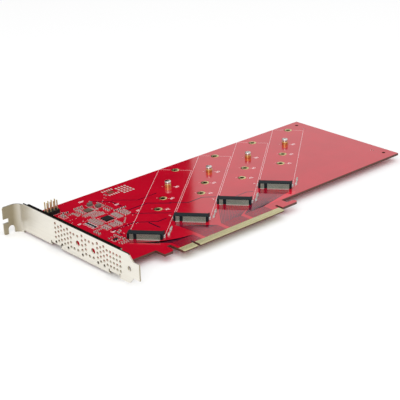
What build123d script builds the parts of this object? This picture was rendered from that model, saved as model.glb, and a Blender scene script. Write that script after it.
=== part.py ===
from build123d import *
from math import cos, radians, sin
import os

# Adapter card for four M.2 modules, with its full-height slot bracket. Sizes in millimetres.
# Frame: X runs along the card away from the bracket, Y from the contact edge to the top edge,
# Z up from the component side. The origin lies on the bracket's outer face, level with the
# tips of the edge contacts.

# Board
board_thickness = 1.57
board_gap = 0.44
small_sides = 10
ring_sides = 20
board_end_x = 255.0
board_top_y = 111.15
shoulder_y = 106.2
shoulder_length = 9.0
board_edge_y = 12.75
key_x = 56.21
tab_left_reach = 12.15
tab_right_reach = 72.15
key_width = 1.9
key_depth = 8.25
tip_bevel_length = 1.3
tip_bevel_depth = 0.45
tab_corner = 0.6
hook_slot_width = 1.95
hook_slot_top_y = 8.9
hook_neck_width = 7.9
hook_lobe_width = 13.9
hook_bottom_y = 3.6
hook_lobe_top_y = 7.6
hook_round = 1.8
tongue_x = 33.0
tongue_width = 8.1
tongue_bottom_y = 4.7
tongue_corner = 2.0
corner_hole_dia = 2.5
corner_hole_inset = 6.2
corner_hole_low_y = 20.8
tooling_hole_dia = 0.8
tooling_hole_spacing = 1.6
tooling_hole_shift = 9.0
tooling_hole_inset = 1.5

# Edge contacts
contact_pitch = 1.0
contact_width = 0.7
contact_start_y = 1.4
contact_end_y = 5.05
contact_thickness = 0.05
contacts_before_key = 11
contacts_after_key = 71
first_contact_offset = 1.5

# Module sites
site_count = 4
site_x = 41.3
site_y = 31.9
site_pitch = 36.97
site_angle = 50.2
module_holes = (42.0, 60.0, 110.0)
fitted_hole = 80.0
module_hole_dia = 3.0
ring_dia = 5.6
ring_thickness = 0.05
barrel_wall = 0.1

# Module connectors
connector_width = 21.9
connector_height = 3.7
shell_front = 1.0
shell_rear = 3.9
post_rear = 4.4
post_width = 1.05
shelf_front = 4.0
shelf_height = 1.9
arm_height = 2.7
arm_width = 0.9
mouth_end_wall = 0.95
mouth_bottom = 2.05
mouth_height = 1.0
mouth_depth = 3.9
key_offset = 6.0
key_rib_width = 1.7
housing_lift = 0.1
housing_edge = 0.2
peg_dia = 1.1
peg_inset = 1.65
peg_length = 1.3
peg_play = 0.05
terminal_pitch = 0.5
terminal_margin = 1.7
terminal_width = 0.24
terminal_thickness = 0.16
terminal_top = 3.3
foot_length = 0.95
foot_front = 4.9
spring_length = 2.2
anchor_length = 1.6
anchor_width = 0.9
anchor_height = 1.3

# Standoffs, their nuts and the module screws
standoff_dia = 4.3
standoff_height = 2.1
stud_dia = 2.7
nut_width = 4.6
nut_height = 1.2
thread_depth = 1.9
standoff_bore = 2.2
shank_dia = 2.0
screw_head_dia = 4.2
screw_head_height = 1.5
screw_head_round = 0.45
screw_collar_dia = 3.4
screw_collar_height = 0.6
screw_reach = 1.6
recess_width = 0.55
recess_length = 2.3
recess_depth = 0.5

# Bracket
sheet = 0.86
bracket_length = 120.02
bracket_width = 18.42
bracket_end_y = -12.51
blade_top_z = 14.3
shoulder_cut = 4.115
blade_shoulder_y = -3.0
tail_width = 10.19
flange_depth = 11.43
flange_top_z = 13.0
flange_bottom_z = -5.7
flange_step_reach = 6.01
bend_radius = 4.5
flange_corner = 1.4
screw_notch_width = 4.6
screw_notch_x = -5.7
screw_notch_top_z = -0.5
side_notch_width = 2.8
side_notch_z = 3.5
side_notch_x = -7.6
lip_depth = 2.3
lip_start_y = 5.0
lip_end_reach = 10.51
lip_round = 0.7
vent_dia = 2.0
vent_row_pitch = 3.05
vent_centre_z = 5.09
four_vent_ys = (4.5, 7.5, 10.5, 13.5, 16.6, 22.6, 36.9, 51.5, 57.7, 63.8)
five_vent_ys = (19.6, 25.6, 40.4, 54.6, 60.8, 66.9)
vent_pair_ys = (29.7, 33.5, 44.7, 48.5)
vent_pair_spacing = 9.15
port_hole_dia = 3.6
port_hole_ys = (29.7, 44.7)
tail_hole_dia = 3.2
tail_hole_y = -3.7
lug_hole_x = 5.6
lug_width = 9.0
lug_low_y = 10.4
lug_high_y = 67.0
lug_low_hole_y = 18.6
lug_reach = 9.2
lug_clear_x = 1.2
lug_relief = 0.9
lug_relief_height = 1.06
mount_screw_dia = 2.9
mount_hole_dia = 3.3
mount_head_dia = 5.6
mount_head_height = 1.9
mount_head_round = 0.8
mount_recess_length = 2.8
mount_recess_width = 0.6
mount_recess_depth = 0.7

# Pin header
pin_pitch = 2.54
pin_columns = 4
pin_rows = 2
pin_size = 0.64
pin_tip = 0.18
pin_top_z = 9.0
pin_tail = 1.4
header_height = 2.5
header_x = 21.7
header_y = 102.1
header_cell_cut = 0.4
pin_hole_dia = 1.02

# Chips and small components
clock_chip = (41.5, 70.0, 6.0, 6.0, 0.85)
power_chip = (40.7, 89.0, 4.4, 4.4, 0.8)
chip_edge = 0.12
chip_pad_length = 0.7
chip_pad_width = 0.28
chip_pad_pitch = 0.65
chip_corner_margin = 1.2
pad_thickness = 0.04
end_cap_share = 0.22
chip_0402 = (1.0, 0.5, 0.5)
chip_0603 = (1.6, 0.8, 0.8)
chip_0805 = (2.0, 1.25, 1.2)
chip_1206 = (3.2, 1.6, 0.6)
chokes_xy = ((46.8, 95.2), (49.4, 89.6))
choke_length = 3.4
choke_width = 3.0
choke_height = 1.7
choke_corner = 0.5
choke_edge = 0.2
transistor_x = 25.4
transistor_y = 41.4
transistor_length = 2.9
transistor_width = 1.4
transistor_height = 1.0
transistor_lift = 0.1
leg_width = 0.4
leg_length = 0.5
leg_height = 0.5
leg_spacing = 1.9
site_parts_side = 13.5
site_parts_reach = (3.8, 8.4, 11.2, 14.0)
driver_pads = (80.2, 101.0, 2.5, 3.0, 1.3, 1.9)
regulator_pads = (70.0, 103.2, 1.9, 7.6, 0.9, 2.2)
regulator_slug = (70.0, 103.2, 5.0, 3.6)

board_left_x = sheet + board_gap
tab_left_x = key_x - tab_left_reach
tab_right_x = key_x + tab_right_reach
hook_left_x = tab_right_x + hook_slot_width
flange_face_y = bracket_end_y + bracket_length
flange_step_y = flange_face_y - flange_step_reach
lip_end_y = flange_face_y - lip_end_reach
blade_bottom_z = blade_top_z - bracket_width
lug_top_z = -board_thickness
along = (sin(radians(site_angle)), cos(radians(site_angle)))
across = (cos(radians(site_angle)), -sin(radians(site_angle)))
low = (Align.MIN, Align.MIN)
mouth_width = connector_width - 2 * mouth_end_wall
peg_spacing = connector_width - 2 * peg_inset


def site_point(site, distance, side=0.0):
    """Point of a module site, measured from the module's contact edge along the module."""
    x = site_x + site * site_pitch + distance * along[0] + side * across[0]
    y = site_y + distance * along[1] + side * across[1]
    return (x, y)


def site_plane(site, height=0.0):
    """Plane of a module site: X across the module, Y along it, Z up."""
    x, y = site_point(site, 0)
    return Plane(origin=(x, y, height), x_dir=(across[0], across[1], 0), z_dir=(0, 0, 1))


def section_plane(site, side):
    """Upright plane across a site at a sideways place: X along the module, Y up."""
    x, y = site_point(site, 0, side)
    return Plane(origin=(x, y, 0), x_dir=(along[0], along[1], 0), z_dir=(across[0], across[1], 0))


def finish(part, name):
    """Label a finished piece and write its file."""
    part.label = name
    export_step(part, f"parts/{name}.step")


os.makedirs("parts", exist_ok=True)
sites = range(site_count)
header_pins_xy = [
    (header_x + (column - (pin_columns - 1) / 2) * pin_pitch, header_y + (row - (pin_rows - 1) / 2) * pin_pitch)
    for column in range(pin_columns)
    for row in range(pin_rows)
]
mount_holes_xy = [(lug_hole_x, lug_low_hole_y), (lug_hole_x, lug_high_y)]
open_holes_xy = [site_point(site, distance) for site in sites for distance in module_holes]
fitted_holes_xy = [site_point(site, fitted_hole) for site in sites]
peg_holes_xy = [site_point(site, 0, side * peg_spacing / 2) for site in sites for side in (-1, 1)]
corner_x = board_end_x - corner_hole_inset
corner_holes_xy = [(corner_x, board_top_y - corner_hole_inset), (corner_x, corner_hole_low_y)]
tooling_holes_xy = [
    (corner_x - tooling_hole_inset, y + shift)
    for y in (corner_holes_xy[0][1] - tooling_hole_shift, corner_hole_low_y + tooling_hole_shift)
    for shift in (-tooling_hole_spacing / 2, tooling_hole_spacing / 2)
]

# Circuit board with its contact tab, key slot, locating tongue and retention hook
with BuildPart() as board:
    with BuildSketch(Plane.XY.offset(-board_thickness)):
        with Locations((board_left_x, board_edge_y)):
            Rectangle(board_end_x - board_left_x, board_top_y - board_edge_y, align=low)
        with Locations((board_left_x, shoulder_y)):
            Rectangle(shoulder_length, board_top_y - shoulder_y, align=low, mode=Mode.SUBTRACT)
        with BuildLine():
            Polyline(
                (tab_left_x + tab_corner, 0),
                (tab_right_x - tab_corner, 0),
                (tab_right_x, tab_corner),
                (tab_right_x, board_edge_y),
                (tab_left_x, board_edge_y),
                (tab_left_x, tab_corner),
                close=True,
            )
        make_face()
        with BuildLine():
            Polyline(
                (tongue_x, board_edge_y),
                (tongue_x, tongue_bottom_y),
                (tongue_x + tongue_width - tongue_corner, tongue_bottom_y),
                (tongue_x + tongue_width, tongue_bottom_y + tongue_corner),
                (tongue_x + tongue_width, board_edge_y),
                close=True,
            )
        make_face()
        with Locations((key_x, 0)):
            Rectangle(key_width, 2 * (key_depth - key_width / 2), mode=Mode.SUBTRACT)
        with Locations((key_x, key_depth - key_width / 2)):
            Circle(key_width / 2, mode=Mode.SUBTRACT)
    extrude(amount=board_thickness)
    with BuildSketch(Plane.XY.offset(-board_thickness)) as hook_outline:
        with Locations((tab_right_x, hook_slot_top_y)):
            Rectangle(hook_slot_width + hook_neck_width, board_edge_y - hook_slot_top_y, align=low)
        with Locations((hook_left_x, hook_bottom_y)):
            Rectangle(hook_neck_width, board_edge_y - hook_bottom_y, align=low)
            Rectangle(hook_lobe_width, hook_lobe_top_y - hook_bottom_y, align=low)
        lobe_corners = hook_outline.vertices().group_by(Axis.X)[-1]
        fillet(lobe_corners, radius=hook_round)
    extrude(amount=board_thickness)
    with BuildSketch(Plane.YZ.offset(tab_left_x)):
        for face_z, inward in ((0, -1), (-board_thickness, 1)):
            with BuildLine():
                Polyline(
                    (0, face_z),
                    (tip_bevel_length, face_z),
                    (0, face_z + inward * tip_bevel_depth),
                    close=True,
                )
            make_face()
    extrude(amount=tab_right_x - tab_left_x, mode=Mode.SUBTRACT)
    with BuildSketch(Plane.XY.offset(-board_thickness)):
        for places, radius, sides in (
            (open_holes_xy, module_hole_dia / 2 + barrel_wall, ring_sides),
            (fitted_holes_xy, module_hole_dia / 2, ring_sides),
            (mount_holes_xy, mount_hole_dia / 2, ring_sides),
            (peg_holes_xy, peg_dia / 2 + peg_play, small_sides),
            (tooling_holes_xy, tooling_hole_dia / 2, small_sides),
            (header_pins_xy, pin_hole_dia / 2, small_sides),
        ):
            with Locations(*places):
                RegularPolygon(radius, sides)
    extrude(amount=board_thickness, mode=Mode.SUBTRACT)
    with Locations(*[(x, y, 0) for x, y in corner_holes_xy]):
        Hole(corner_hole_dia / 2, depth=board_thickness)
finish(board.part, "circuit_board")

# Gold edge contacts, one row on each face of the tab
contact_xs = [key_x - first_contact_offset - contact_pitch * pin for pin in range(contacts_before_key)]
contact_xs += [key_x + first_contact_offset + contact_pitch * pin for pin in range(contacts_after_key)]
for name, face_z, outward in (
    ("edge_contacts_top", 0, 1),
    ("edge_contacts_bottom", -board_thickness, -1),
):
    with BuildPart() as contacts:
        with BuildSketch(Plane.XY.offset(face_z)):
            with Locations(*[(x, contact_start_y) for x in contact_xs]):
                Rectangle(contact_width, contact_end_y - contact_start_y, align=(Align.CENTER, Align.MIN))
        extrude(amount=outward * contact_thickness)
    finish(contacts.part, name)

# Plated rings through the open module holes: a barrel with a ring on each face
with BuildPart() as rings:
    with BuildSketch(Plane.XY.offset(-board_thickness)):
        with Locations(*open_holes_xy):
            RegularPolygon(module_hole_dia / 2 + barrel_wall, ring_sides)
            Circle(module_hole_dia / 2, mode=Mode.SUBTRACT)
    extrude(amount=board_thickness)
    for face_z, outward in ((0, 1), (-board_thickness, -1)):
        with BuildSketch(Plane.XY.offset(face_z)):
            with Locations(*open_holes_xy):
                RegularPolygon(ring_dia / 2, ring_sides)
                Circle(module_hole_dia / 2, mode=Mode.SUBTRACT)
        extrude(amount=outward * ring_thickness)
finish(rings.part, "plated_rings")

# Module connector: stepped housing with a keyed mouth, end posts and two locating pegs
terminal_count = int((connector_width - 2 * terminal_margin) / terminal_pitch + terminal_width) + 1
terminal_sides = [
    side
    for side in (terminal_pitch * (index - (terminal_count - 1) / 2) for index in range(terminal_count))
    if abs(side + key_offset) > (key_rib_width + terminal_width) / 2
]
for site in sites:
    with BuildPart() as housing:
        with BuildSketch(section_plane(site, -connector_width / 2)):
            with BuildLine():
                Polyline(
                    (-shell_rear, housing_lift),
                    (shelf_front, housing_lift),
                    (shelf_front, shelf_height),
                    (shell_front, shelf_height),
                    (shell_front, connector_height),
                    (-shell_rear, connector_height),
                    close=True,
                )
            make_face()
        extrude(amount=connector_width)
        with BuildSketch(site_plane(site, shelf_height)):
            with GridLocations(connector_width - arm_width, 0, 2, 1):
                with Locations((0, (shell_front + shelf_front) / 2)):
                    Rectangle(arm_width, shelf_front - shell_front)
        extrude(amount=arm_height - shelf_height)
        with BuildSketch(site_plane(site, housing_lift)):
            post_depth = post_rear - shell_rear
            with Locations((0, -shell_rear - post_depth / 2)):
                with GridLocations(connector_width - post_width, 0, 2, 1):
                    Rectangle(post_width, post_depth)
            with Locations((-key_offset, -shell_rear - post_depth / 2)):
                Rectangle(key_rib_width, post_depth)
        extrude(amount=connector_height - housing_lift)
        with BuildSketch(site_plane(site, mouth_bottom)):
            with Locations((0, shell_front - mouth_depth / 2)):
                Rectangle(mouth_width, mouth_depth)
            with Locations((-key_offset, shell_front - mouth_depth / 2)):
                Rectangle(key_rib_width, mouth_depth, mode=Mode.SUBTRACT)
        extrude(amount=mouth_height, mode=Mode.SUBTRACT)
        with BuildSketch(site_plane(site, housing_lift)):
            with GridLocations(peg_spacing, 0, 2, 1):
                RegularPolygon(peg_dia / 2, small_sides)
        extrude(amount=-peg_length - housing_lift)
        top_edges = housing.edges().filter_by(Plane.XY).group_by(Axis.Z)[-1]
        long_edges = top_edges.sort_by(Edge.length)[-1:]
        chamfer(long_edges, length=housing_edge)
    finish(housing.part, f"module_connector_{site + 1}")

# Connector terminals: bent solder tails along the rear, contact springs on the front shelf
for site in sites:
    with BuildPart() as terminals:
        tail_planes = [section_plane(site, side - terminal_width / 2) for side in terminal_sides]
        with BuildSketch(*tail_planes):
            with BuildLine():
                Polyline(
                    (-shell_rear, terminal_top),
                    (-shell_rear - terminal_thickness, terminal_top),
                    (-shell_rear - terminal_thickness, terminal_thickness),
                    (-foot_front, terminal_thickness),
                    (-foot_front, 0),
                    (-shell_rear, 0),
                    close=True,
                )
            make_face()
        extrude(amount=terminal_width)
        with BuildSketch(site_plane(site, shelf_height)):
            with Locations(*[(side, (shell_front + shelf_front) / 2) for side in terminal_sides]):
                Rectangle(terminal_width, spring_length)
        extrude(amount=terminal_thickness)
    finish(terminals.part, f"connector_terminals_{site + 1}")

# Solder anchors at both ends of each connector
with BuildPart() as anchors:
    for site in sites:
        with BuildSketch(site_plane(site)):
            with GridLocations(connector_width + anchor_width, 0, 2, 1):
                Rectangle(anchor_width, anchor_length)
        extrude(amount=anchor_height)
finish(anchors.part, "connector_anchors")

# Standoffs at the fitted holes, with a stud through the board
with BuildPart() as standoffs:
    with BuildSketch():
        with Locations(*fitted_holes_xy):
            RegularPolygon(standoff_dia / 2, ring_sides)
    extrude(amount=standoff_height)
    with BuildSketch():
        with Locations(*fitted_holes_xy):
            RegularPolygon(stud_dia / 2, small_sides)
    extrude(amount=-board_thickness - nut_height)
    with BuildSketch(Plane.XY.offset(standoff_height)):
        with Locations(*fitted_holes_xy):
            RegularPolygon(standoff_bore / 2, small_sides)
    extrude(amount=-thread_depth, mode=Mode.SUBTRACT)
finish(standoffs.part, "standoffs")

# Hexagon nuts that clamp the standoffs from the solder side
with BuildPart() as nuts:
    with BuildSketch(Plane.XY.offset(-board_thickness)):
        with Locations(*fitted_holes_xy):
            RegularPolygon(nut_width / 2, 6, major_radius=False)
            RegularPolygon(stud_dia / 2, small_sides, mode=Mode.SUBTRACT)
    extrude(amount=-nut_height)
finish(nuts.part, "standoff_nuts")

# Module screws, parked on the standoffs: shank, collar and cross-recessed head
with BuildPart() as module_screws:
    with BuildSketch(Plane.XY.offset(standoff_height - screw_reach)):
        with Locations(*fitted_holes_xy):
            RegularPolygon(shank_dia / 2, small_sides)
    extrude(amount=screw_reach)
    with BuildSketch(Plane.XY.offset(standoff_height)):
        with Locations(*fitted_holes_xy):
            RegularPolygon(screw_collar_dia / 2, ring_sides)
    extrude(amount=screw_collar_height)
    head_z = standoff_height + screw_collar_height
    with BuildSketch(Plane.XY.offset(head_z)):
        with Locations(*fitted_holes_xy):
            RegularPolygon(screw_head_dia / 2, ring_sides)
    extrude(amount=screw_head_height)
    chamfer(module_screws.edges().group_by(Axis.Z)[-1], length=screw_head_round)
    with BuildSketch(Plane.XY.offset(head_z + screw_head_height)):
        with Locations(*fitted_holes_xy):
            Rectangle(recess_length, recess_width)
            Rectangle(recess_width, recess_length)
    extrude(amount=-recess_depth, mode=Mode.SUBTRACT)
finish(module_screws.part, "module_screws")

# Slot bracket: one folded sheet with blade, flange, stiffening lip and two mounting lugs
outer_height = blade_top_z - min(blade_bottom_z, flange_bottom_z)
bracket_low_z = blade_top_z - outer_height
with BuildPart() as bracket:
    with BuildSketch(Plane.XY.offset(bracket_low_z)):
        inner_y = flange_face_y - sheet
        with BuildLine():
            Polyline((0, inner_y - bend_radius), (0, bracket_end_y), (sheet, bracket_end_y))
            Line((sheet, bracket_end_y), (sheet, inner_y - bend_radius))
            CenterArc((-bend_radius, inner_y - bend_radius), bend_radius + sheet, 0, 90)
            Polyline((-bend_radius, flange_face_y), (-flange_depth, flange_face_y), (-flange_depth, inner_y))
            Line((-flange_depth, inner_y), (-bend_radius, inner_y))
            CenterArc((-bend_radius, inner_y - bend_radius), bend_radius, 0, 90)
        make_face()
    extrude(amount=outer_height)
    # Blade below the flange step keeps its own width and ends in a narrow tail
    blade_reach = flange_step_y - bracket_end_y
    with BuildSketch(Plane.YZ.offset(-sheet)):
        with Locations((bracket_end_y, bracket_low_z)):
            Rectangle(blade_reach, outer_height, align=low)
        with BuildLine():
            Polyline(
                (flange_step_y, blade_bottom_z),
                (flange_step_y, blade_top_z),
                (blade_shoulder_y, blade_top_z),
                (blade_shoulder_y - shoulder_cut, blade_top_z - shoulder_cut),
                (bracket_end_y, blade_top_z - shoulder_cut),
                (bracket_end_y, blade_top_z - shoulder_cut - tail_width),
                (blade_shoulder_y - shoulder_cut, blade_top_z - shoulder_cut - tail_width),
                (blade_shoulder_y, blade_bottom_z),
                close=True,
            )
        make_face(mode=Mode.SUBTRACT)
    extrude(amount=3 * sheet, mode=Mode.SUBTRACT)
    # Flange outline, side notch and the open screw slot
    with BuildSketch(Plane.XZ.offset(-flange_face_y - sheet)):
        with Locations((-flange_depth, flange_top_z)):
            Rectangle(flange_depth + 3 * sheet, blade_top_z - flange_top_z, align=low)
        with Locations((-flange_depth, side_notch_z)):
            Rectangle(2 * (flange_depth + side_notch_x), side_notch_width)
        with Locations((screw_notch_x, screw_notch_top_z - screw_notch_width / 2)):
            Circle(screw_notch_width / 2)
            Rectangle(screw_notch_width, flange_top_z - flange_bottom_z, align=(Align.CENTER, Align.MAX))
    extrude(amount=flange_face_y + 2 * sheet - flange_step_y, mode=Mode.SUBTRACT)
    corners = bracket.edges().filter_by(Axis.Y).group_by(Axis.X)[0].sort_by(Axis.Z)
    fillet([corners[0], corners[-1]], radius=flange_corner)
    # Stiffening lip folded inward along the top of the blade
    with BuildSketch(Plane.XY.offset(blade_top_z)):
        with Locations((0, lip_start_y)):
            Rectangle(lip_depth, lip_end_y - lip_start_y, align=low)
    extrude(amount=-sheet)
    top_edges = bracket.edges().filter_by(Axis.Y).group_by(Axis.Z)[-1]
    fillet(top_edges.group_by(Axis.X)[0], radius=lip_round)
    # Mounting lugs folded under the board, the lower one reaching up to its screw
    lug_floor_z = lug_top_z - sheet
    with BuildSketch(Plane.XY.offset(lug_floor_z)):
        for centre_y in (lug_low_y, lug_high_y):
            with Locations((0, centre_y - lug_width / 2)):
                Rectangle(lug_reach, lug_width, align=low)
        with Locations((lug_clear_x, lug_low_y)):
            Rectangle(lug_reach - lug_clear_x, lug_low_hole_y + mount_head_dia / 2 - lug_low_y, align=low)
        with Locations(*mount_holes_xy):
            RegularPolygon(mount_screw_dia / 2, ring_sides, mode=Mode.SUBTRACT)
    extrude(amount=sheet)
    with BuildSketch(Plane.YZ.offset(-sheet)):
        for centre_y in (lug_low_y, lug_high_y):
            with Locations((centre_y, blade_bottom_z)):
                Rectangle(lug_width, lug_floor_z - blade_bottom_z, align=(Align.CENTER, Align.MIN))
            with Locations((centre_y, lug_floor_z)):
                with GridLocations(lug_width + lug_relief, 0, 2, 1):
                    Rectangle(lug_relief, 2 * lug_relief_height)
    extrude(amount=2 * sheet, mode=Mode.SUBTRACT)
    # Vent holes in staggered columns around the two larger holes
    vents_yz = [
        (y, vent_centre_z + (row - (rows - 1) / 2) * vent_row_pitch)
        for column_ys, rows in ((four_vent_ys, 4), (five_vent_ys, 5))
        for y in column_ys
        for row in range(rows)
    ]
    vents_yz += [(y, vent_centre_z + side * vent_pair_spacing / 2) for y in vent_pair_ys for side in (-1, 1)]
    with BuildSketch(Plane.YZ.offset(-sheet)):
        with Locations(*vents_yz):
            RegularPolygon(vent_dia / 2, small_sides)
        with Locations(*[(y, vent_centre_z) for y in port_hole_ys]):
            Circle(port_hole_dia / 2)
        with Locations((tail_hole_y, vent_centre_z)):
            Circle(tail_hole_dia / 2)
    extrude(amount=3 * sheet, mode=Mode.SUBTRACT)
finish(bracket.part, "slot_bracket")

# Screws that hold the board to the bracket's lugs
with BuildPart() as mount_screws:
    with BuildSketch():
        with Locations(*mount_holes_xy):
            RegularPolygon(mount_head_dia / 2, ring_sides)
    extrude(amount=mount_head_height)
    chamfer(mount_screws.edges().group_by(Axis.Z)[-1], length=mount_head_round)
    with BuildSketch():
        with Locations(*mount_holes_xy):
            RegularPolygon(mount_screw_dia / 2, ring_sides)
    extrude(amount=-board_thickness - sheet)
    with BuildSketch(Plane.XY.offset(mount_head_height)):
        with Locations(*mount_holes_xy):
            Rectangle(mount_recess_length, mount_recess_width)
            Rectangle(mount_recess_width, mount_recess_length)
    extrude(amount=-mount_recess_depth, mode=Mode.SUBTRACT)
finish(mount_screws.part, "bracket_screws")

# Pin header: a body of bevelled cells and square pins through the board
with BuildPart() as header_body:
    with BuildSketch():
        with Locations(*header_pins_xy):
            Rectangle(pin_pitch, pin_pitch)
    extrude(amount=header_height)
    chamfer(header_body.edges().filter_by(Axis.Z), length=header_cell_cut)
    with BuildSketch():
        with Locations(*header_pins_xy):
            Rectangle(pin_size, pin_size)
    extrude(amount=header_height, mode=Mode.SUBTRACT)
finish(header_body.part, "header_body")

with BuildPart() as header_pins:
    with BuildSketch(Plane.XY.offset(-board_thickness - pin_tail)):
        with Locations(*header_pins_xy):
            Rectangle(pin_size, pin_size)
    extrude(amount=board_thickness + pin_tail + pin_top_z)
    tips = header_pins.faces().filter_by(Axis.Z).group_by(Axis.Z)[-1].edges()
    chamfer(tips, length=pin_tip)
finish(header_pins.part, "header_pins")

# Flat chip packages with a ring of solder pads
for name, (x, y, length, width, height) in (("clock_chip", clock_chip), ("power_chip", power_chip)):
    with BuildPart() as chip:
        with BuildSketch(Plane.XY.offset(pad_thickness)):
            with Locations((x, y)):
                Rectangle(length, width)
        extrude(amount=height)
        chamfer(chip.edges().group_by(Axis.Z)[-1], length=chip_edge)
    finish(chip.part, name)

chip_pad_places = []
for x, y, length, width, height in (clock_chip, power_chip):
    for turn, side_length, depth in ((0, length, width), (90, width, length)):
        count = int((side_length - chip_corner_margin) / chip_pad_pitch) + 1
        for index in range(count):
            shift = (index - (count - 1) / 2) * chip_pad_pitch
            for side in (-1, 1):
                reach = side * (depth / 2 + chip_pad_length / 4)
                place = (x + shift, y + reach, 0) if turn == 0 else (x + reach, y + shift, 0)
                chip_pad_places.append(Location(place, (0, 0, turn)))
with BuildPart() as chip_pads:
    with BuildSketch():
        with Locations(*chip_pad_places):
            Rectangle(chip_pad_width, chip_pad_length)
    extrude(amount=pad_thickness)
finish(chip_pads.part, "chip_pads")

# Small two-ended components: rows of (size, x, y, step in x, step in y, count, turn)
capacitor_rows = [
    (chip_0402, 31.6, 66.0, 0, 2.0, 6, 0),
    (chip_0402, 33.4, 65.0, 0, 2.0, 7, 0),
    (chip_0402, 35.2, 66.0, 0, 2.0, 6, 0),
    (chip_0603, 31.6, 57.5, 0, 2.0, 3, 0),
    (chip_0402, 34.4, 57.5, 0, 1.9, 4, 0),
    (chip_0603, 41.0, 57.5, 0, 2.1, 3, 0),
    (chip_0402, 45.4, 58.0, 1.5, 1.5, 4, 90),
    (chip_0402, 47.6, 66.0, 0, 1.9, 5, 0),
    (chip_0402, 50.6, 66.0, 0, 1.9, 5, 0),
    (chip_0603, 53.8, 66.6, 0, 2.3, 4, 0),
    (chip_0402, 36.4, 78.2, 2.2, 0, 5, 90),
    (chip_0603, 50.0, 79.6, 0, 2.2, 3, 0),
    (chip_0402, 32.8, 84.2, 2.1, 0, 6, 90),
    (chip_0402, 33.0, 87.2, 0, 1.9, 3, 0),
    (chip_0603, 35.8, 87.4, 0, 2.1, 3, 0),
    (chip_0402, 34.8, 94.2, 2.0, 0, 4, 90),
    (chip_0603, 36.0, 96.8, 2.6, 0, 3, 0),
    (chip_0805, 24.0, 91.4, 0, 2.4, 2, 0),
    (chip_0402, 27.4, 92.0, 1.4, 0, 3, 90),
    (chip_0603, 23.6, 54.8, 0, 2.4, 3, 0),
    (chip_0402, 24.0, 36.2, 1.9, 0, 4, 90),
    (chip_0603, 29.6, 38.6, 0, 2.6, 2, 0),
    (chip_0603, 33.0, 48.2, 2.4, 1.4, 2, 90),
]
resistor_rows = [
    (chip_1206, 28.0, 65.4, 0, 2.5, 4, 0),
    (chip_0603, 52.6, 76.4, 2.6, 0, 4, 0),
    (chip_0402, 53.4, 80.4, 0, 1.9, 4, 0),
    (chip_0402, 50.4, 98.4, 0, 1.6, 2, 0),
    (chip_0603, 27.0, 96.6, 2.4, -0.6, 2, 0),
    (chip_0402, 23.6, 45.6, 2.0, 0, 3, 90),
    (chip_0402, 64.6, 100.6, 0, 2.0, 2, 0),
]


def row_places(rows):
    """Size, plan position and turn of every component in the rows."""
    return [
        (size, x + step_x * index, y + step_y * index, turn)
        for size, x, y, step_x, step_y, count, turn in rows
        for index in range(count)
    ]


capacitors = row_places(capacitor_rows)
for site in sites:
    for index, reach in enumerate(site_parts_reach):
        x, y = site_point(site, reach, site_parts_side)
        capacitors.append((chip_0603 if index % 2 else chip_0805, x, y, 90 - site_angle))
for kind, places in (("capacitor", capacitors), ("resistor", row_places(resistor_rows))):
    size_places = {
        size: [Location((x, y, 0), (0, 0, turn)) for chip_size, x, y, turn in places if chip_size == size]
        for size in sorted({place[0] for place in places})
    }
    with BuildPart() as bodies:
        for (length, width, height), spots in size_places.items():
            with BuildSketch(Plane.XY.offset(pad_thickness)):
                with Locations(*spots):
                    Rectangle(length * (1 - 2 * end_cap_share), width)
            extrude(amount=height)
    finish(bodies.part, f"{kind}_bodies")
    with BuildPart() as ends:
        for (length, width, height), spots in size_places.items():
            cap_length = length * end_cap_share
            with BuildSketch():
                with Locations(*spots):
                    with GridLocations(length - cap_length, 0, 2, 1):
                        Rectangle(cap_length, width)
            extrude(amount=height + pad_thickness)
    finish(ends.part, f"{kind}_ends")

# Two chokes beside the power chip and a three-legged transistor by the bracket
with BuildPart() as chokes:
    with BuildSketch():
        with Locations(*chokes_xy):
            Rectangle(choke_length, choke_width)
    extrude(amount=choke_height)
    chamfer(chokes.edges().filter_by(Axis.Z), length=choke_corner)
    chamfer(chokes.edges().group_by(Axis.Z)[-1], length=choke_edge)
finish(chokes.part, "chokes")

with BuildPart() as transistor_body:
    with BuildSketch(Plane.XY.offset(transistor_lift)):
        with Locations((transistor_x, transistor_y)):
            Rectangle(transistor_length, transistor_width)
    extrude(amount=transistor_height)
finish(transistor_body.part, "transistor_body")

with BuildPart() as transistor_legs:
    leg_reach = (transistor_width + leg_length) / 2
    with BuildSketch():
        with Locations(
            (transistor_x - leg_spacing / 2, transistor_y - leg_reach),
            (transistor_x + leg_spacing / 2, transistor_y - leg_reach),
            (transistor_x, transistor_y + leg_reach),
        ):
            Rectangle(leg_width, leg_length)
    extrude(amount=leg_height)
finish(transistor_legs.part, "transistor_legs")

# Tinned pads of the two places left without a chip
with BuildPart() as bare_pads:
    with BuildSketch():
        for (x, y, step_x, step_y, width, length), columns, rows in ((driver_pads, 4, 4), (regulator_pads, 5, 2)):
            with Locations((x, y)):
                with GridLocations(step_x, step_y, columns, rows):
                    Rectangle(width, length)
        slug_x, slug_y, slug_length, slug_width = regulator_slug
        with Locations((slug_x, slug_y)):
            Rectangle(slug_length, slug_width)
    extrude(amount=pad_thickness)
finish(bare_pads.part, "bare_pads")
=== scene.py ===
import math
import random

import bmesh
import bpy
from mathutils import Euler, Matrix, Vector


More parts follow.
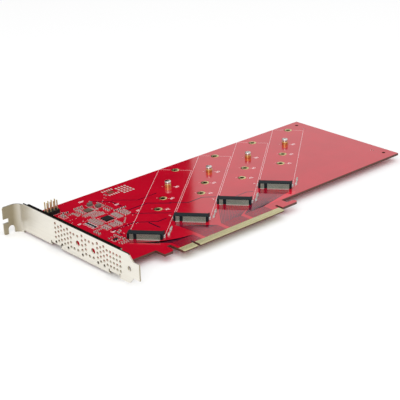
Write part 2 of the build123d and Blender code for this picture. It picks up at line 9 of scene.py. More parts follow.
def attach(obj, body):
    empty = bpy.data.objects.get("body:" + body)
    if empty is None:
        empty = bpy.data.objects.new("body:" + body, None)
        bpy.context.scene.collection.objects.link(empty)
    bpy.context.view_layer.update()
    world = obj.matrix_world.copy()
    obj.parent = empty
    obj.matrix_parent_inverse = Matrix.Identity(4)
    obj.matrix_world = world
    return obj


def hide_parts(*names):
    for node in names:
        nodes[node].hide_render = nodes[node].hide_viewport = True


# Looks of an adapter card for four slanted modules. Lengths below are millimetres in the card's own
# frame (X away from the bracket, Y up from the edge contacts, Z out of the component side).
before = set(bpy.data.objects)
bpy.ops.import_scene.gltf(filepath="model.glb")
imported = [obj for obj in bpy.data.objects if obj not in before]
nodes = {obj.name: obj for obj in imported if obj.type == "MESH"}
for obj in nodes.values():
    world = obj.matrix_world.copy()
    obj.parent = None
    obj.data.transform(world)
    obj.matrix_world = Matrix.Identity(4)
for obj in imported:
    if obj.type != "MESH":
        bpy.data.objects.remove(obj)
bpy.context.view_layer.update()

MM = 0.001
BOARD_THICKNESS = 1.57
SITE_ANGLE = math.radians(50.2)
ALONG = Vector((math.sin(SITE_ANGLE), math.cos(SITE_ANGLE)))
ACROSS = Vector((math.cos(SITE_ANGLE), -math.sin(SITE_ANGLE)))
SITE_DATUM = Vector((41.3, 31.9))
SITE_PITCH = 36.97
SITES = range(4)
OPEN_HOLES = (42.0, 60.0, 110.0)
FITTED_HOLE = 80.0
MODULE_HALF_WIDTH = 11.3
PRINT_HEIGHT = 0.025
TRACK_HEIGHT = 0.018
VIA_LEVEL = 0.012
# Limits along the card, in metres, of the contact tab's bevelled tip and of the empty place's heat pad
TAB_START, TAB_END, TAB_TOP = 0.0435, 0.129, 0.0053
PAD_START, PAD_END, PAD_LOW, PAD_TOP = 0.0672, 0.0728, 0.1011, 0.1053
# Height in metres above which the bracket's upward faces are the folded lip's, which get a painted dark reflection
LIP_LEVEL = 0.0135


def site_point(site, distance, side=0.0):
    """Plan position at a distance along a module site and a step to its side."""
    return SITE_DATUM + Vector((SITE_PITCH * site, 0)) + ALONG * distance + ACROSS * side


def shade(red, green, blue):
    """Linear colour of a shade given in steps of 255."""
    def linear(step):
        part = step / 255
        return part / 12.92 if part <= 0.04045 else ((part + 0.055) / 1.055) ** 2.4
    return (linear(red), linear(green), linear(blue), 1.0)


class Value:
    """A number that varies over a surface and takes part in ordinary sums."""

    def __init__(self, finish, socket):
        self.finish = finish
        self.socket = socket

    def _sum(self, operation, first, second):
        return self.finish.node("ShaderNodeMath", {"operation": operation}, {0: first, 1: second})[0]

    def __add__(self, other):
        return self._sum("ADD", self, other)

    def __sub__(self, other):
        return self._sum("SUBTRACT", self, other)

    def __rsub__(self, other):
        return self._sum("SUBTRACT", other, self)

    def __mul__(self, other):
        return self._sum("MULTIPLY", self, other)

    def __gt__(self, other):
        return self._sum("GREATER_THAN", self, other)

    def __abs__(self):
        return self._sum("ABSOLUTE", self, 0.0)

    __radd__ = __add__
    __rmul__ = __mul__


class Finish:
    """One surface finish: a principled shader with constants, and nodes for what varies."""

    def __init__(self, name, **constants):
        self.material = bpy.data.materials.new(name)
        self.material.use_nodes = True
        self.tree = self.material.node_tree
        self.shader = self.tree.nodes["Principled BSDF"]
        for label, value in constants.items():
            self.shader.inputs[label.replace("_", " ")].default_value = value
        self.place = self.node("ShaderNodeTexCoord")["Object"]

    def node(self, kind, settings=None, inputs=None):
        """Adds a node, with its settings first, and returns its outputs by name and number."""
        made = self.tree.nodes.new(kind)
        for label, value in (settings or {}).items():
            setattr(made, label, value)
        for label, value in (inputs or {}).items():
            if isinstance(value, Value):
                value = value.socket
            if isinstance(value, bpy.types.NodeSocket):
                self.tree.links.new(value, made.inputs[label])
            else:
                made.inputs[label].default_value = value
        found = {}
        for number, socket in enumerate(made.outputs):
            found[number] = Value(self, socket)
            found.setdefault(socket.name, found[number])
        return found

    def noise(self, scale, detail=3.0, stretch=None):
        """Noise over the piece's own coordinates, in grains per metre, 0 to 1."""
        place = self.place
        if stretch:
            place = self.node("ShaderNodeMapping", None, {"Vector": place, "Scale": stretch})["Vector"]
        return self.node("ShaderNodeTexNoise", None, {"Vector": place, "Scale": scale, "Detail": detail})[0]

    def blend(self, share, first, second):
        """Colour mixed from two by a share."""
        settings = {"data_type": "RGBA"}
        return self.node("ShaderNodeMix", settings, {0: share, 6: first, 7: second})[2]

    def facing(self, axis):
        """Part of the surface normal along one of the axes X, Y and Z."""
        normal = self.node("ShaderNodeNewGeometry")["Normal"]
        return self.node("ShaderNodeSeparateXYZ", None, {0: normal})[axis]

    def feed(self, label, value):
        """Feeds one of the shader's sockets."""
        self.tree.links.new(value.socket, self.shader.inputs[label])

    def relief(self, height, depth):
        """Bump from a height that runs 0 to 1, with its depth in millimetres."""
        inputs = {"Height": height, "Distance": depth * MM, "Strength": 1.0}
        self.feed("Normal", self.node("ShaderNodeBump", None, inputs)["Normal"])


def solder_mask():
    """Glossy red mask with faint specks, brown cut edges and a bare pale tip on the contact tab."""
    finish = Finish("red_solder_mask", Roughness=0.16, IOR=1.5)
    cloud = finish.noise(60, 4)
    speck = finish.noise(900, 2)
    mask = finish.blend(cloud, shade(172, 6, 32), shade(194, 10, 40))
    mask = finish.blend((speck > 0.66) * 0.25, mask, shade(146, 5, 26))
    spot = finish.node("ShaderNodeSeparateXYZ", None, {0: finish.place})
    tab = (spot["X"] > TAB_START) * (1 - (spot["X"] > TAB_END)) * (1 - (spot["Y"] > TAB_TOP))
    bare_tip = finish.blend(speck, shade(160, 154, 112), shade(180, 174, 132))
    mask = finish.blend(tab, mask, bare_tip)
    fibre = finish.noise(500, 3, (1.0, 1.0, 9.0))
    edge = finish.blend(fibre, shade(58, 26, 22), shade(96, 52, 38))
    side = 1 - (abs(finish.facing("Z")) > 0.5)
    finish.feed("Base Color", finish.blend(side, mask, edge))
    finish.feed("Roughness", 0.05 + cloud * 0.05 + side * 0.5 + tab * 0.2)
    finish.relief(finish.noise(180, 2), 0.003)
    return finish.material


def plated(name, pale, dark, roughness, painted_wall_shade=None, metallic=1.0):
    """Plated metal with cloudy colour, faint scuffs and a fine grain; painted_wall_shade, if given, is a painted shade
    laid on upright faces.
    """
    finish = Finish(name, Metallic=metallic)
    cloud = finish.noise(250, 4)
    scuff = finish.noise(700, 3, (1.0, 6.0, 1.0))
    colour = finish.blend(cloud, dark, pale)
    # Upright faces can take a painted shade colour
    if painted_wall_shade:
        colour = finish.blend(1 - (abs(finish.facing("Z")) > 0.5), colour, painted_wall_shade)
    finish.feed("Base Color", colour)
    finish.feed("Roughness", roughness + scuff * 0.22)
    finish.relief(finish.noise(1200, 2), 0.004)
    return finish.material


def pad_tin():
    """Tinned pads, with the wide heat pad of the empty chip place left as dull brown copper."""
    finish = Finish("pad_tin", Metallic=0.4)
    cloud = finish.noise(250, 4)
    spot = finish.node("ShaderNodeSeparateXYZ", None, {0: finish.place})
    heat_pad = (spot["X"] > PAD_START) * (1 - (spot["X"] > PAD_END))
    heat_pad = heat_pad * (spot["Y"] > PAD_LOW) * (1 - (spot["Y"] > PAD_TOP))
    pale = finish.blend(cloud, shade(198, 190, 184), shade(226, 220, 214))
    brown = finish.blend(cloud, shade(112, 52, 40), shade(134, 68, 50))
    finish.feed("Base Color", finish.blend(heat_pad, pale, brown))
    finish.feed("Roughness", 0.34 + cloud * 0.2)
    finish.relief(finish.noise(1200, 2), 0.004)
    return finish.material


def bracket_steel():
    """Rolled plated sheet: bright blade with fine streaks, a painted taupe shade and reflection on faces turned along
    Y (the folded flange), and a painted dark reflection on the lip top.
    """
    finish = Finish("rolled_bracket_steel", Metallic=0.9)
    streak = finish.noise(900, 4, (1.0, 0.04, 1.0))
    cloud = finish.noise(45, 4)
    colour = finish.blend(cloud, shade(228, 224, 213), shade(242, 238, 229))
    colour = finish.blend(streak * 0.3, colour, shade(190, 185, 174))
    # Faces turned along Y, the folded flange and the bend into it, get a painted taupe shade and reflection
    colour = finish.blend(abs(finish.facing("Y")), colour, shade(158, 148, 126))
    height = finish.node("ShaderNodeSeparateXYZ", None, {0: finish.place})["Z"]
    # The lip's upward faces get a painted dark reflection: a near-black colour standing in for the dark surroundings
    # they mirror
    painted_lip_reflection = (finish.facing("Z") > 0.5) * (height > LIP_LEVEL)
    finish.feed("Base Color", finish.blend(painted_lip_reflection, colour, shade(62, 60, 56)))
    finish.feed("Roughness", 0.24 + streak * 0.2 + cloud * 0.06 - painted_lip_reflection * 0.2)
    finish.relief(streak, 0.004)
    return finish.material


def moulded(name, main, worn, roughness, grain, depth):
    """Moulded or pressed material with a fine grain and mottled colour."""
    finish = Finish(name, IOR=1.5, Specular_IOR_Level=0.2)
    speck = finish.noise(grain, 3)
    cloud = finish.noise(120, 3)
    finish.feed("Base Color", finish.blend(speck * 0.6 + cloud * 0.4, main, worn))
    finish.feed("Roughness", roughness + speck * 0.18)
    finish.relief(speck, depth)
    return finish.material


def print_ink():
    """Pale print with slightly uneven cover."""
    finish = Finish("pale_print", Roughness=0.5)
    cover = finish.noise(1400, 3)
    finish.feed("Base Color", finish.blend(cover, shade(238, 214, 218), shade(248, 236, 236)))
    finish.feed("Roughness", 0.4 + cover * 0.2)
    return finish.material


def covered_track():
    """Narrow copper under the mask: much darker than the board around it."""
    finish = Finish("masked_copper", Roughness=0.14, IOR=1.5)
    cloud = finish.noise(90, 3)
    finish.feed("Base Color", finish.blend(cloud, shade(42, 4, 26), shade(68, 13, 46)))
    finish.feed("Roughness", 0.08 + cloud * 0.06)
    return finish.material


def copper_plane():
    """Wide copper under the mask, a shade brighter than bare laminate."""
    finish = Finish("masked_plane", Roughness=0.14, IOR=1.5)
    cloud = finish.noise(70, 3)
    finish.feed("Base Color", finish.blend(cloud, shade(198, 14, 40), shade(212, 22, 50)))
    finish.feed("Roughness", 0.06 + cloud * 0.06)
    return finish.material


mask = solder_mask()
gold = plated("gold_plate", shade(222, 216, 172), shade(198, 190, 146), 0.25)
# The rings' upright faces, the barrels of the holes, get a painted dark brown shade for the dark inside of each hole
ring_gold = plated("ring_gold", shade(216, 204, 146), shade(190, 176, 118), 0.18, shade(48, 34, 22))
brass_gold = plated("standoff_gold", shade(232, 204, 132), shade(196, 160, 88), 0.16)
tin = plated("matt_tin", shade(226, 226, 224), shade(198, 198, 197), 0.32, metallic=0.4)
terminal_tin = plated("terminal_tin", shade(190, 202, 186), shade(148, 160, 146), 0.3, metallic=0.6)
nickel = plated("bright_nickel", shade(226, 224, 220), shade(176, 172, 166), 0.06)
steel = bracket_steel()
resin = moulded("connector_resin", shade(4, 16, 21), shade(10, 25, 31), 0.55, 2600, 0.006)
nylon = moulded("header_nylon", shade(14, 14, 16), shade(26, 26, 28), 0.42, 2200, 0.006)
chip_resin = moulded("chip_resin", shade(7, 8, 9), shade(17, 18, 19), 0.55, 3200, 0.008)
olive_resin = moulded("olive_resin", shade(74, 66, 56), shade(98, 88, 74), 0.5, 3000, 0.008)
ceramic = moulded("tan_ceramic", shade(112, 92, 80), shade(146, 124, 108), 0.5, 2600, 0.006)
glaze = moulded("resistor_glaze", shade(24, 24, 28), shade(48, 48, 52), 0.22, 1800, 0.003)
ferrite = moulded("pressed_ferrite", shade(84, 76, 70), shade(108, 98, 90), 0.5, 2400, 0.012)
ink = print_ink()
track = covered_track()
plane_copper = copper_plane()

NODE_FINISH = {
    "circuit_board": mask, "edge_contacts_top": gold, "edge_contacts_bottom": gold,
    "connector_anchors": tin, "standoff_nuts": brass_gold, "slot_bracket": steel,
    "header_body": nylon, "header_pins": gold, "clock_chip": chip_resin, "power_chip": olive_resin,
    "chip_pads": tin, "capacitor_bodies": ceramic, "capacitor_ends": tin, "resistor_bodies": glaze,
    "resistor_ends": tin, "chokes": ferrite, "transistor_body": chip_resin, "transistor_legs": tin,
    "bare_pads": pad_tin(),
}
for site in SITES:
    NODE_FINISH[f"module_connector_{site + 1}"] = resin
    NODE_FINISH[f"connector_terminals_{site + 1}"] = terminal_tin
for name, finish in NODE_FINISH.items():
    slots = nodes[name].data.materials
    if not slots:
        slots.append(finish)
    for number in range(len(slots)):
        slots[number] = finish


def add_piece(name, mesh, finish, replaced=()):
    """Puts a finished mesh on the card, in place of the named CAD nodes if there are any."""
    mesh.name = name
    mesh.materials.clear()
    mesh.materials.append(finish)
    piece = bpy.data.objects.new(name, mesh)
    bpy.context.scene.collection.objects.link(piece)
    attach(piece, "root")
    if replaced:
        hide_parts(*replaced)
    return piece


def mesh_from(shape, smooth=False):
    """Turns a bmesh in millimetres into a mesh in metres with outward faces."""
    bmesh.ops.remove_doubles(shape, verts=shape.verts, dist=0.0005)
    bmesh.ops.recalc_face_normals(shape, faces=shape.faces)
    bmesh.ops.scale(shape, vec=(MM, MM, MM), verts=shape.verts)
    mesh = bpy.data.meshes.new("made")
    shape.to_mesh(mesh)
    shape.free()
    if smooth:
        mesh.shade_smooth()
        mesh.set_sharp_from_angle(angle=math.radians(35))
    return mesh


def lathe(shape, profile, centre, sides=48, closed=False):
    """Turns a profile of (radius, height) about an upright axis at a plan position."""
    rings = []
    for radius, height in profile:
        if radius < 1e-6:
            rings.append([shape.verts.new((centre[0], centre[1], height))] * sides)
            continue
        rings.append([
            shape.verts.new((
                centre[0] + radius * math.cos(2 * math.pi * step / sides),
                centre[1] + radius * math.sin(2 * math.pi * step / sides),
                height,
            ))
            for step in range(sides)
        ])
    pairs = list(zip(rings, rings[1:])) + ([(rings[-1], rings[0])] if closed else [])
    for lower, upper in pairs:
        for step in range(sides):
            after = (step + 1) % sides
            corners = []
            for vert in (lower[step], lower[after], upper[after], upper[step]):
                if vert not in corners:
                    corners.append(vert)
            if len(corners) > 2:
                shape.faces.new(corners)


def strip(shape, points, width, low, high):
    """A flat strip with upright sides that follows plan points, mitred at its bends."""
    points = [Vector(point) for point in points]
    rails = []
    for index, point in enumerate(points):
        before = (point - points[index - 1]).normalized() if index else None
        after = (points[index + 1] - point).normalized() if index + 1 < len(points) else None
        heading = ((before or after) + (after or before)).normalized()
        side = Vector((-heading.y, heading.x))
        turn = side.dot(Vector((-(after or before).y, (after or before).x)))
        reach = side * width / 2 / max(turn, 0.4)
        rails.append([
            shape.verts.new((*(point + sign * reach), height))
            for sign, height in ((1, low), (-1, low), (-1, high), (1, high))
        ])
    for first, second in zip(rails, rails[1:]):
        for corner in range(4):
            after = (corner + 1) % 4
            shape.faces.new((first[corner], first[after], second[after], second[corner]))
    shape.faces.new(rails[0][::-1])
    shape.faces.new(rails[-1])


def patch(shape, corners, low, high):
    """A flat patch with upright sides over a plan outline."""
    floor_ring = [shape.verts.new((x, y, low)) for x, y in corners]
    top_ring = [shape.verts.new((x, y, high)) for x, y in corners]
    shape.faces.new(floor_ring[::-1])
    shape.faces.new(top_ring)
    for index in range(len(corners)):
        after = (index + 1) % len(corners)
        shape.faces.new((floor_ring[index], floor_ring[after], top_ring[after], top_ring[index]))


def cross_cut(mesh, centres, top, length, width, depth):
    """Cuts a cross recess into each head of a mesh of screws."""
    cutter_shape = bmesh.new()
    for centre in centres:
        half, slim = length / 2, width / 2
        outline = [
            (half, slim), (slim, slim), (slim, half), (-slim, half), (-slim, slim), (-half, slim),
            (-half, -slim), (-slim, -slim), (-slim, -half), (slim, -half), (slim, -slim), (half, -slim),
        ]
        turn = math.radians(25)
        corners = [
            (centre[0] + x * math.cos(turn) - y * math.sin(turn), centre[1] + x * math.sin(turn) + y * math.cos(turn))
            for x, y in outline
        ]
        patch(cutter_shape, corners, top - depth, top + 1)
    cutter = bpy.data.objects.new("recess_cutter", mesh_from(cutter_shape))
    body = bpy.data.objects.new("recess_body", mesh)
    for item in (cutter, body):
        bpy.context.scene.collection.objects.link(item)
    cut = body.modifiers.new("recess", "BOOLEAN")
    cut.operation = "DIFFERENCE"
    cut.solver = "EXACT"
    cut.object = cutter
    result = bpy.data.meshes.new_from_object(body.evaluated_get(bpy.context.evaluated_depsgraph_get()))
    for item in (cutter, body):
        bpy.data.objects.remove(item)
    result.shade_smooth()
    result.set_sharp_from_angle(angle=math.radians(35))
    return result


# Plated rings of the open holes
rings = bmesh.new()
for site in SITES:
    for distance in OPEN_HOLES:
        profile = [(1.5, -1.6), (1.53, -1.62), (2.77, -1.62), (2.8, -1.6), (2.8, -1.57), (1.6, -1.57)]
        profile += [(1.6, 0), (2.8, 0), (2.8, 0.03), (2.77, 0.05), (1.56, 0.05), (1.5, 0.0)]
        lathe(rings, profile, site_point(site, distance), 56, True)
add_piece("rings_of_holes", mesh_from(rings, True), ring_gold, ["plated_rings"])

# Standoffs with a broken edge, a plain round foot and a tapped bore
fitted = [site_point(site, FITTED_HOLE) for site in SITES]
standoffs = bmesh.new()
for centre in fitted:
    profile = [(0, -2.77), (1.25, -2.77), (1.35, -2.67), (1.35, 0), (2.1, 0), (2.15, 0.06), (2.15, 1.95)]
    profile += [(2.02, 2.1), (1.25, 2.1), (1.1, 1.96)]
    for step in range(6):
        profile += [(1.1, 1.9 - 0.25 * step), (1.02, 1.78 - 0.25 * step)]
    profile += [(1.1, 0.3), (0, 0.2)]
    lathe(standoffs, profile, centre, 56)
add_piece("module_standoffs", mesh_from(standoffs, True), brass_gold, ["standoffs"])

# Module screws: collar, domed head with a cross recess
screws = bmesh.new()
for centre in fitted:
    profile = [(0, 0.5), (0.85, 0.5), (1.0, 0.65), (1.0, 2.1), (1.64, 2.1), (1.7, 2.16), (1.7, 2.7)]
    profile += [(2.04, 2.7), (2.1, 2.76), (2.1, 3.72), (2.04, 3.92), (1.9, 4.08), (1.66, 4.18), (1.3, 4.2), (0, 4.2)]
    lathe(screws, profile, centre, 56)
screw_mesh = cross_cut(mesh_from(screws), fitted, 4.2, 2.3, 0.5, 0.6)
add_piece("screws_on_standoffs", screw_mesh, nickel, ["module_screws"])

# Screws that hold the board to the bracket's lugs
lug_holes = [Vector((5.6, 18.6)), Vector((5.6, 67.0))]
lug_screws = bmesh.new()
for centre in lug_holes:
    profile = [(0, -2.43), (1.35, -2.43), (1.45, -2.3), (1.45, 0), (2.72, 0), (2.8, 0.08), (2.8, 0.9)]
    profile += [(2.68, 1.3), (2.4, 1.62), (2.0, 1.82), (1.4, 1.9), (0, 1.9)]
    lathe(lug_screws, profile, centre, 56)
lug_mesh = cross_cut(mesh_from(lug_screws), lug_holes, 1.9, 2.9, 0.6, 0.8)
add_piece("screws_on_lugs", lug_mesh, nickel, ["bracket_screws"])

# Print: module outlines, part outlines, plain numbers and short marks
prints = bmesh.new()
for site in SITES:
    for side in (-MODULE_HALF_WIDTH, MODULE_HALF_WIDTH):
        strip(prints, [site_point(site, -1, side), site_point(site, 110, side)], 0.16, 0, PRINT_HEIGHT)
    for side in (-1, 1):
        ends = [site_point(site, 110, side * MODULE_HALF_WIDTH), site_point(site, 110, side * 3.3)]
        strip(prints, ends, 0.16, 0, PRINT_HEIGHT)
        for distance in (*OPEN_HOLES[:2], FITTED_HOLE):
            marks = [site_point(site, distance, side * 3.3), site_point(site, distance, side * 4.3)]
            strip(prints, marks, 0.14, 0, PRINT_HEIGHT)


def outline(x, y, length, width, line=0.14):
    """Printed rectangle round a part."""
    half, deep = length / 2, width / 2
    corners = [(x - half, y - deep), (x + half, y - deep), (x + half, y + deep), (x - half, y + deep)]
    for index in range(4):
        strip(prints, [corners[index], corners[(index + 1) % 4]], line, 0, PRINT_HEIGHT)


for x, y, length, width in (
    (41.5, 70.0, 8.6, 8.6), (40.7, 89.0, 6.6, 6.6), (21.7, 102.1, 11.2, 6.1),
    (25.4, 41.4, 4.2, 3.6), (46.8, 95.2, 4.4, 3.9), (49.4, 89.6, 4.4, 3.9),
    (24.0, 92.6, 3.4, 6.2), (28.0, 69.15, 4.4, 10.8), (32.4, 60.0, 3.0, 7.2), (41.0, 59.6, 3.0, 7.2),
):
    outline(x, y, length, width)
for x, y, width in ((30.6, 52.2, 3.4), (58.4, 84.4, 3.6), (62.0, 66.8, 2.8), (22.8, 76.4, 3.0), (44.6, 104.6, 4.2)):
    for row in range(2):
        strip(prints, [(x, y - row * 1.1), (x + width - row, y - row * 1.1)], 0.45, 0, PRINT_HEIGHT)
for x, y in ((37.6, 74.8), (37.6, 92.8), (15.4, 98.2)):
    lathe(prints, [(0, 0), (0.3, 0), (0.3, PRINT_HEIGHT), (0, PRINT_HEIGHT)], (x, y), 20)
add_piece("board_print", mesh_from(prints), ink)


def number_mesh(words, centre, height, turn):
    """Raised plain number as a mesh, in metres."""
    curve = bpy.data.curves.new("number", "FONT")
    curve.body = words
    curve.size = height * MM
    curve.extrude = PRINT_HEIGHT / 2 * MM
    curve.align_x = "CENTER"
    curve.resolution_u = 3
    text = bpy.data.objects.new("number", curve)
    bpy.context.scene.collection.objects.link(text)
    mesh = bpy.data.meshes.new_from_object(text.evaluated_get(bpy.context.evaluated_depsgraph_get()))
    bpy.data.objects.remove(text)
    place = Matrix.Translation(Vector((centre[0], centre[1], PRINT_HEIGHT / 2)) * MM)
    mesh.transform(place @ Matrix.Rotation(turn, 4, "Z"))
    return mesh


numbers = bmesh.new()
for site in SITES:
    for distance in (*OPEN_HOLES[:2], FITTED_HOLE):
        centre = site_point(site, distance, 6.4) - Vector((0, 0.6))
        numbers.from_mesh(number_mesh(f"{distance:.0f}", centre, 3.2, math.radians(4)))
    numbers.from_mesh(number_mesh(f"{site + 1}", site_point(site, 3.5, -13.8), 2.4, 0))
number_parts = bpy.data.meshes.new("numbers")
numbers.to_mesh(number_parts)
numbers.free()
add_piece("board_numbers", number_parts, ink)

# Copper under the mask: single tracks, fan-outs behind the connectors, bundles to the contacts
tracks = bmesh.new()
for width, points in (
    (0.9, ((51, 100), (60.5, 90), (60.5, 79))), (0.9, ((58, 71.5), (75, 71.5), (86, 60))),
    (0.8, ((57, 66), (76, 48))), (0.9, ((33, 44.6), (33, 53.5), (50, 53.5), (61, 44), (68, 44))),
    (1.0, ((56, 47), (56, 36))), (0.9, ((86, 62), (94, 53), (106, 53), (113, 47))),
    (0.7, ((123, 38.5), (132, 38.5), (136, 36))), (0.6, ((62, 92), (74, 80), (90, 80))),
):
    strip(tracks, points, width, 0, TRACK_HEIGHT)
for site in SITES:
    for index in range(17):
        side = -9.0 + index * 1.125
        finger_x = 46.7 + 20.0 * site + index * 1.0
        start = site_point(site, -5.3, side)
        bend = site_point(site, -9.2, side)
        low_y = 13.6 - (index % 2) * 0.1
        for offset in (-0.19, 0.19):
            shift = Vector((offset, 0))
            slant = ACROSS * offset
            points = [start + slant, bend + slant]
            points += [Vector((finger_x, low_y)) + shift, Vector((finger_x, 5.3)) + shift]
            strip(tracks, points, 0.24, 0, TRACK_HEIGHT)
add_piece("masked_tracks", mesh_from(tracks), track)

# Wide copper patches that show brighter through the mask
planes = bmesh.new()
for corners in (
    ((129, 13.6), (152, 13.6), (156, 17), (142, 20), (131, 18)),
    ((8, 22), (20, 22), (20, 32), (8, 32)),
):
    patch(planes, corners, 0, TRACK_HEIGHT * 0.7)
add_piece("masked_planes", mesh_from(planes), plane_copper)


# Small parts in the gaps between the CAD's rows, each a body between two tinned ends. A row gives the
# place of its first part, the step to the next in X and Y, how many there are, and their turn in degrees.
FILL_ROWS = (
    (31.6, 67.0, 0, 2.0, 5, 0), (33.4, 66.0, 0, 2.0, 6, 0), (35.2, 67.0, 0, 2.0, 5, 0), (34.4, 58.45, 0, 1.9, 3, 0),
    (47.6, 66.95, 0, 1.9, 4, 0), (50.6, 66.95, 0, 1.9, 4, 0), (49.1, 66.2, 0, 1.3, 7, 0), (37.2, 57.4, 0, 1.3, 5, 0),
    (38.9, 57.6, 0, 1.3, 5, 0), (43.2, 57.6, 0, 1.3, 6, 0), (37.5, 78.2, 2.2, 0, 4, 90), (36.6, 80.2, 1.3, 0, 8, 90),
    (33.85, 84.2, 2.1, 0, 5, 90), (33.4, 82.3, 1.4, 0, 9, 90), (31.2, 86.4, 0, 1.2, 6, 0), (35.8, 94.2, 2.0, 0, 3, 90),
    (44.4, 87.0, 0, 1.3, 4, 0), (45.9, 86.0, 0, 1.3, 2, 0), (55.9, 66.4, 0, 1.5, 6, 0), (57.6, 67.6, 0, 1.5, 5, 0),
    (26.0, 60.4, 1.4, 0, 4, 90), (24.6, 34.2, 1.6, 0, 4, 90), (29.4, 43.0, 0, 1.5, 4, 0), (52.8, 88.0, 0, 1.4, 6, 0),
)
fill_bodies, fill_ends = bmesh.new(), bmesh.new()


def box(shape, x, y, shift, length, width, turn, low, high):
    """Upright box on a part's centre line, at a shift along it."""
    along = Vector((math.cos(turn), math.sin(turn)))
    side = Vector((-along.y, along.x)) * width / 2
    middle = Vector((x, y)) + along * shift
    signs = ((1, 1), (-1, 1), (-1, -1), (1, -1))
    corners = [middle + along * length / 2 * ahead_sign + side * side_sign for ahead_sign, side_sign in signs]
    patch(shape, corners, low, high)


for x, y, step_x, step_y, count, degrees in FILL_ROWS:
    for index in range(count):
        spot = (x + step_x * index, y + step_y * index)
        turn = math.radians(degrees)
        box(fill_bodies, *spot, 0, 0.5, 0.5, turn, 0.03, 0.5)
        for sign in (-1, 1):
            box(fill_ends, *spot, 0.4 * sign, 0.3, 0.5, turn, 0, 0.52)
add_piece("filling_part_bodies", mesh_from(fill_bodies), ceramic)
add_piece("filling_part_ends", mesh_from(fill_ends), tin)


def repeated(name, places, finish, build):
    """Copies of one small solid on plan places, made by a node tree and kept as a plain mesh."""
    seed = bpy.data.meshes.new(name + "_places")
    seed.from_pydata([Vector(place) * MM for place in places], [], [])
    holder = bpy.data.objects.new(name + "_holder", seed)
    bpy.context.scene.collection.objects.link(holder)
    tree = bpy.data.node_groups.new(name + "_tree", "GeometryNodeTree")
    tree.interface.new_socket("Geometry", in_out="INPUT", socket_type="NodeSocketGeometry")
    sizes = build["sizes"]
    for label, size in sizes.items():
        socket = tree.interface.new_socket(label, in_out="INPUT", socket_type="NodeSocketFloat")
        socket.default_value = size * MM
    tree.interface.new_socket("Geometry", in_out="OUTPUT", socket_type="NodeSocketGeometry")
    entry, leave = tree.nodes.new("NodeGroupInput"), tree.nodes.new("NodeGroupOutput")
    solid = tree.nodes.new(build["kind"])
    for label, value in build.get("settings", {}).items():
        solid.inputs[label].default_value = value
    for label, target in build["links"].items():
        tree.links.new(entry.outputs[label], solid.inputs[target])
    spread = tree.nodes.new("GeometryNodeInstanceOnPoints")
    squeeze = tree.nodes.new("GeometryNodeScaleInstances")
    squeeze.inputs["Scale"].default_value = build.get("squeeze", (1, 1, 1))
    turn = tree.nodes.new("GeometryNodeRotateInstances")
    turn.inputs["Rotation"].default_value = (0, 0, build.get("turn", 0))
    real = tree.nodes.new("GeometryNodeRealizeInstances")
    paint = tree.nodes.new("GeometryNodeSetMaterial")
    paint.inputs["Material"].default_value = finish
    tree.links.new(entry.outputs["Geometry"], spread.inputs["Points"])
    tree.links.new(solid.outputs["Mesh"], spread.inputs["Instance"])
    tree.links.new(spread.outputs[0], squeeze.inputs[0])
    tree.links.new(squeeze.outputs[0], turn.inputs[0])
    tree.links.new(turn.outputs[0], real.inputs[0])
    tree.links.new(real.outputs[0], paint.inputs["Geometry"])
    tree.links.new(paint.outputs[0], leave.inputs[0])
    holder.modifiers.new("copies", "NODES").node_group = tree
    mesh = bpy.data.meshes.new_from_object(holder.evaluated_get(bpy.context.evaluated_depsgraph_get()))
    holder.modifiers.clear()
    bpy.data.objects.remove(holder)
    return add_piece(name, mesh, finish)


# Vias: tinned dots in pairs at the far corners and beside the connectors, and scattered between parts
random.seed(7)
via_places = [(246.3, 95.2, VIA_LEVEL), (247.0, 96.6, VIA_LEVEL), (246.3, 30.6, VIA_LEVEL), (247.0, 29.2, VIA_LEVEL)]
for site in SITES:
    for distance in (2.0, 3.2):
        via_places.append((*site_point(site, distance, 13.2), VIA_LEVEL))
for x, y, width, height, count in (
    (27, 76, 30, 4, 16), (52, 62, 8, 18, 14), (30, 50, 24, 5, 12), (20, 78, 10, 8, 8), (54, 86, 8, 16, 10),
    ):
    for _ in range(count):
        via_places.append((x + random.random() * width, y + random.random() * height, VIA_LEVEL))
via_shape = {
    "kind": "GeometryNodeMeshCylinder", "settings": {"Vertices": 12},
    "sizes": {"Via Radius": 0.26, "Via Height": 0.024}, "links": {"Via Radius": "Radius", "Via Height": "Depth"},
}
repeated("tinned_vias", via_places, tin, via_shape)

# Solder: a small heap at each connector tail, and a dome round each header pin on the far side
tails = []
for site in SITES:
    for index in range(38):
        side = (index - 18.5) * 0.5
        if abs(side + 6.0) > 0.97:
            tails.append((*site_point(site, -4.95, side), 0.02))
heap = {
    "kind": "GeometryNodeMeshUVSphere", "settings": {"Segments": 10, "Rings": 6},
    "sizes": {"Heap Radius": 0.2}, "links": {"Heap Radius": "Radius"},
    "squeeze": (1.0, 1.9, 0.8), "turn": -SITE_ANGLE,
}
repeated("tail_solder", tails, tin, heap)
HEADER_X, HEADER_Y, PIN_PITCH = 21.7, 102.1, 2.54
domes = [
    (HEADER_X + (column - 1.5) * PIN_PITCH, HEADER_Y + (row - 0.5) * PIN_PITCH, -BOARD_THICKNESS)
    for column in range(4) for row in range(2)
]
dome = {
    "kind": "GeometryNodeMeshUVSphere", "settings": {"Segments": 20, "Rings": 10},
    "sizes": {"Dome Radius": 0.78}, "links": {"Dome Radius": "Radius"}, "squeeze": (1.0, 1.0, 0.8),
}
repeated("pin_solder", domes, tin, dome)

# Floor, and the dark card that the board's left half and the folded lip reflect
floor_shape = bmesh.new()
bmesh.ops.create_grid(floor_shape, x_segments=1, y_segments=1, size=6000)
for vert in floor_shape.verts:
    vert.co.z = -5.8
floor_mesh = mesh_from(floor_shape)
floor = bpy.data.objects.new("floor", floor_mesh)
floor_finish = Finish("pale_floor", Roughness=0.9)
floor_finish.shader.inputs["Base Color"].default_value = (0.93, 0.93, 0.93, 1)
floor_finish.shader.inputs["Specular IOR Level"].default_value = 0.0
floor_mesh.materials.append(floor_finish.material)
bpy.context.scene.collection.objects.link(floor)

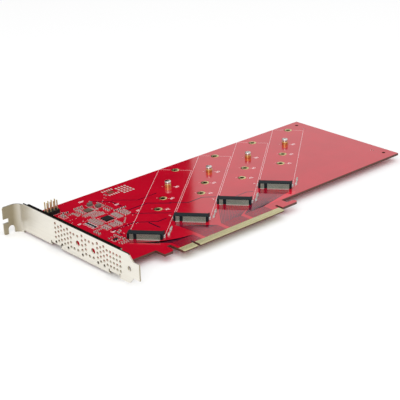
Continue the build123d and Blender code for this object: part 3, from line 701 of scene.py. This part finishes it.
CAMERA_PLACE = Vector((-0.3739, -0.4919, 0.3035))
EDGE_HEADING = Vector((0.655, 0.7556, 0))
LEFT_HEADING = Vector((-0.7556, 0.655, 0))
card_foot = Vector((CAMERA_PLACE.x, CAMERA_PLACE.y, 0)) + EDGE_HEADING * 2.2
card_mesh = bpy.data.meshes.new("dark_card")
card_corners = [card_foot + Vector((0, 0, 0.05)), card_foot + LEFT_HEADING * 1.6 + Vector((0, 0, 0.05))]
card_corners += [corner + Vector((0, 0, 1.9)) for corner in reversed(card_corners)]
card_mesh.from_pydata(card_corners, [], [(0, 1, 2, 3)])
dark_card = bpy.data.objects.new("dark_card", card_mesh)
card_finish = Finish("dark_card", Roughness=1.0)
card_finish.shader.inputs["Base Color"].default_value = (0.01, 0.008, 0.008, 1)
card_finish.shader.inputs["Specular IOR Level"].default_value = 0.0
card_mesh.materials.append(card_finish.material)
bpy.context.scene.collection.objects.link(dark_card)
dark_card.visible_camera = False
dark_card.visible_diffuse = False
dark_card.visible_shadow = False
dark_card.visible_transmission = False

# World: plain soft light, white where it is seen or reflected
world = bpy.data.worlds.new("studio")
bpy.context.scene.world = world
world.use_nodes = True
world.node_tree.nodes.clear()
ray = world.node_tree.nodes.new("ShaderNodeLightPath")
seen = world.node_tree.nodes.new("ShaderNodeMath")
seen.operation = "MAXIMUM"
seen_clear = world.node_tree.nodes.new("ShaderNodeMath")
seen_clear.operation = "MAXIMUM"
soft, white = (world.node_tree.nodes.new("ShaderNodeBackground") for _ in range(2))
soft.inputs["Strength"].default_value = 0.78
soft.inputs["Color"].default_value = (1, 1, 1, 1)
white.inputs["Color"].default_value = (1, 1, 1, 1)
mixed = world.node_tree.nodes.new("ShaderNodeMixShader")
out = world.node_tree.nodes.new("ShaderNodeOutputWorld")
link = world.node_tree.links.new
link(ray.outputs["Is Camera Ray"], seen.inputs[0])
link(ray.outputs["Is Glossy Ray"], seen.inputs[1])
link(seen.outputs[0], seen_clear.inputs[0])
link(ray.outputs["Is Transmission Ray"], seen_clear.inputs[1])
link(seen_clear.outputs[0], mixed.inputs[0])
link(soft.outputs[0], mixed.inputs[1])
link(white.outputs[0], mixed.inputs[2])
link(mixed.outputs[0], out.inputs["Surface"])


def softbox(name, place, target, size, energy):
    """A square area lamp aimed at a point."""
    lamp = bpy.data.lights.new(name, "AREA")
    lamp.shape = "SQUARE"
    lamp.size = size
    lamp.energy = energy
    holder = bpy.data.objects.new(name, lamp)
    holder.location = place
    holder.rotation_euler = (Vector(target) - Vector(place)).to_track_quat("-Z", "Y").to_euler()
    bpy.context.scene.collection.objects.link(holder)


softbox("top_softbox", (0.1, -0.1, 1.8), (0.1, 0.05, 0), 2.4, 12)
softbox("front_softbox", (-1.1, -0.9, 0.7), (0.05, 0.05, 0), 0.9, 11)

# Camera at the photograph's place and turn
camera = bpy.data.objects.new("camera", bpy.data.cameras.new("camera"))
bpy.context.scene.collection.objects.link(camera)
turn = Euler((2.08095756, -0.653499472, -0.362486583), "XYZ").to_matrix()
right, down, ahead = turn[0], turn[1], turn[2]
camera.matrix_world = Matrix((
    (right[0], -down[0], -ahead[0], 0), (right[1], -down[1], -ahead[1], 0),
    (right[2], -down[2], -ahead[2], 0), (0, 0, 0, 1),
))
camera.location = -(turn.transposed() @ Vector((-41.9453857, 42.3026176, 685.786895))) * MM
camera.data.sensor_width = 36
camera.data.lens = 1212.956 / 400 * 36
camera.data.clip_start = 0.01
camera.data.clip_end = 50
bpy.context.scene.camera = camera
bpy.context.scene.view_settings.view_transform = "Standard"
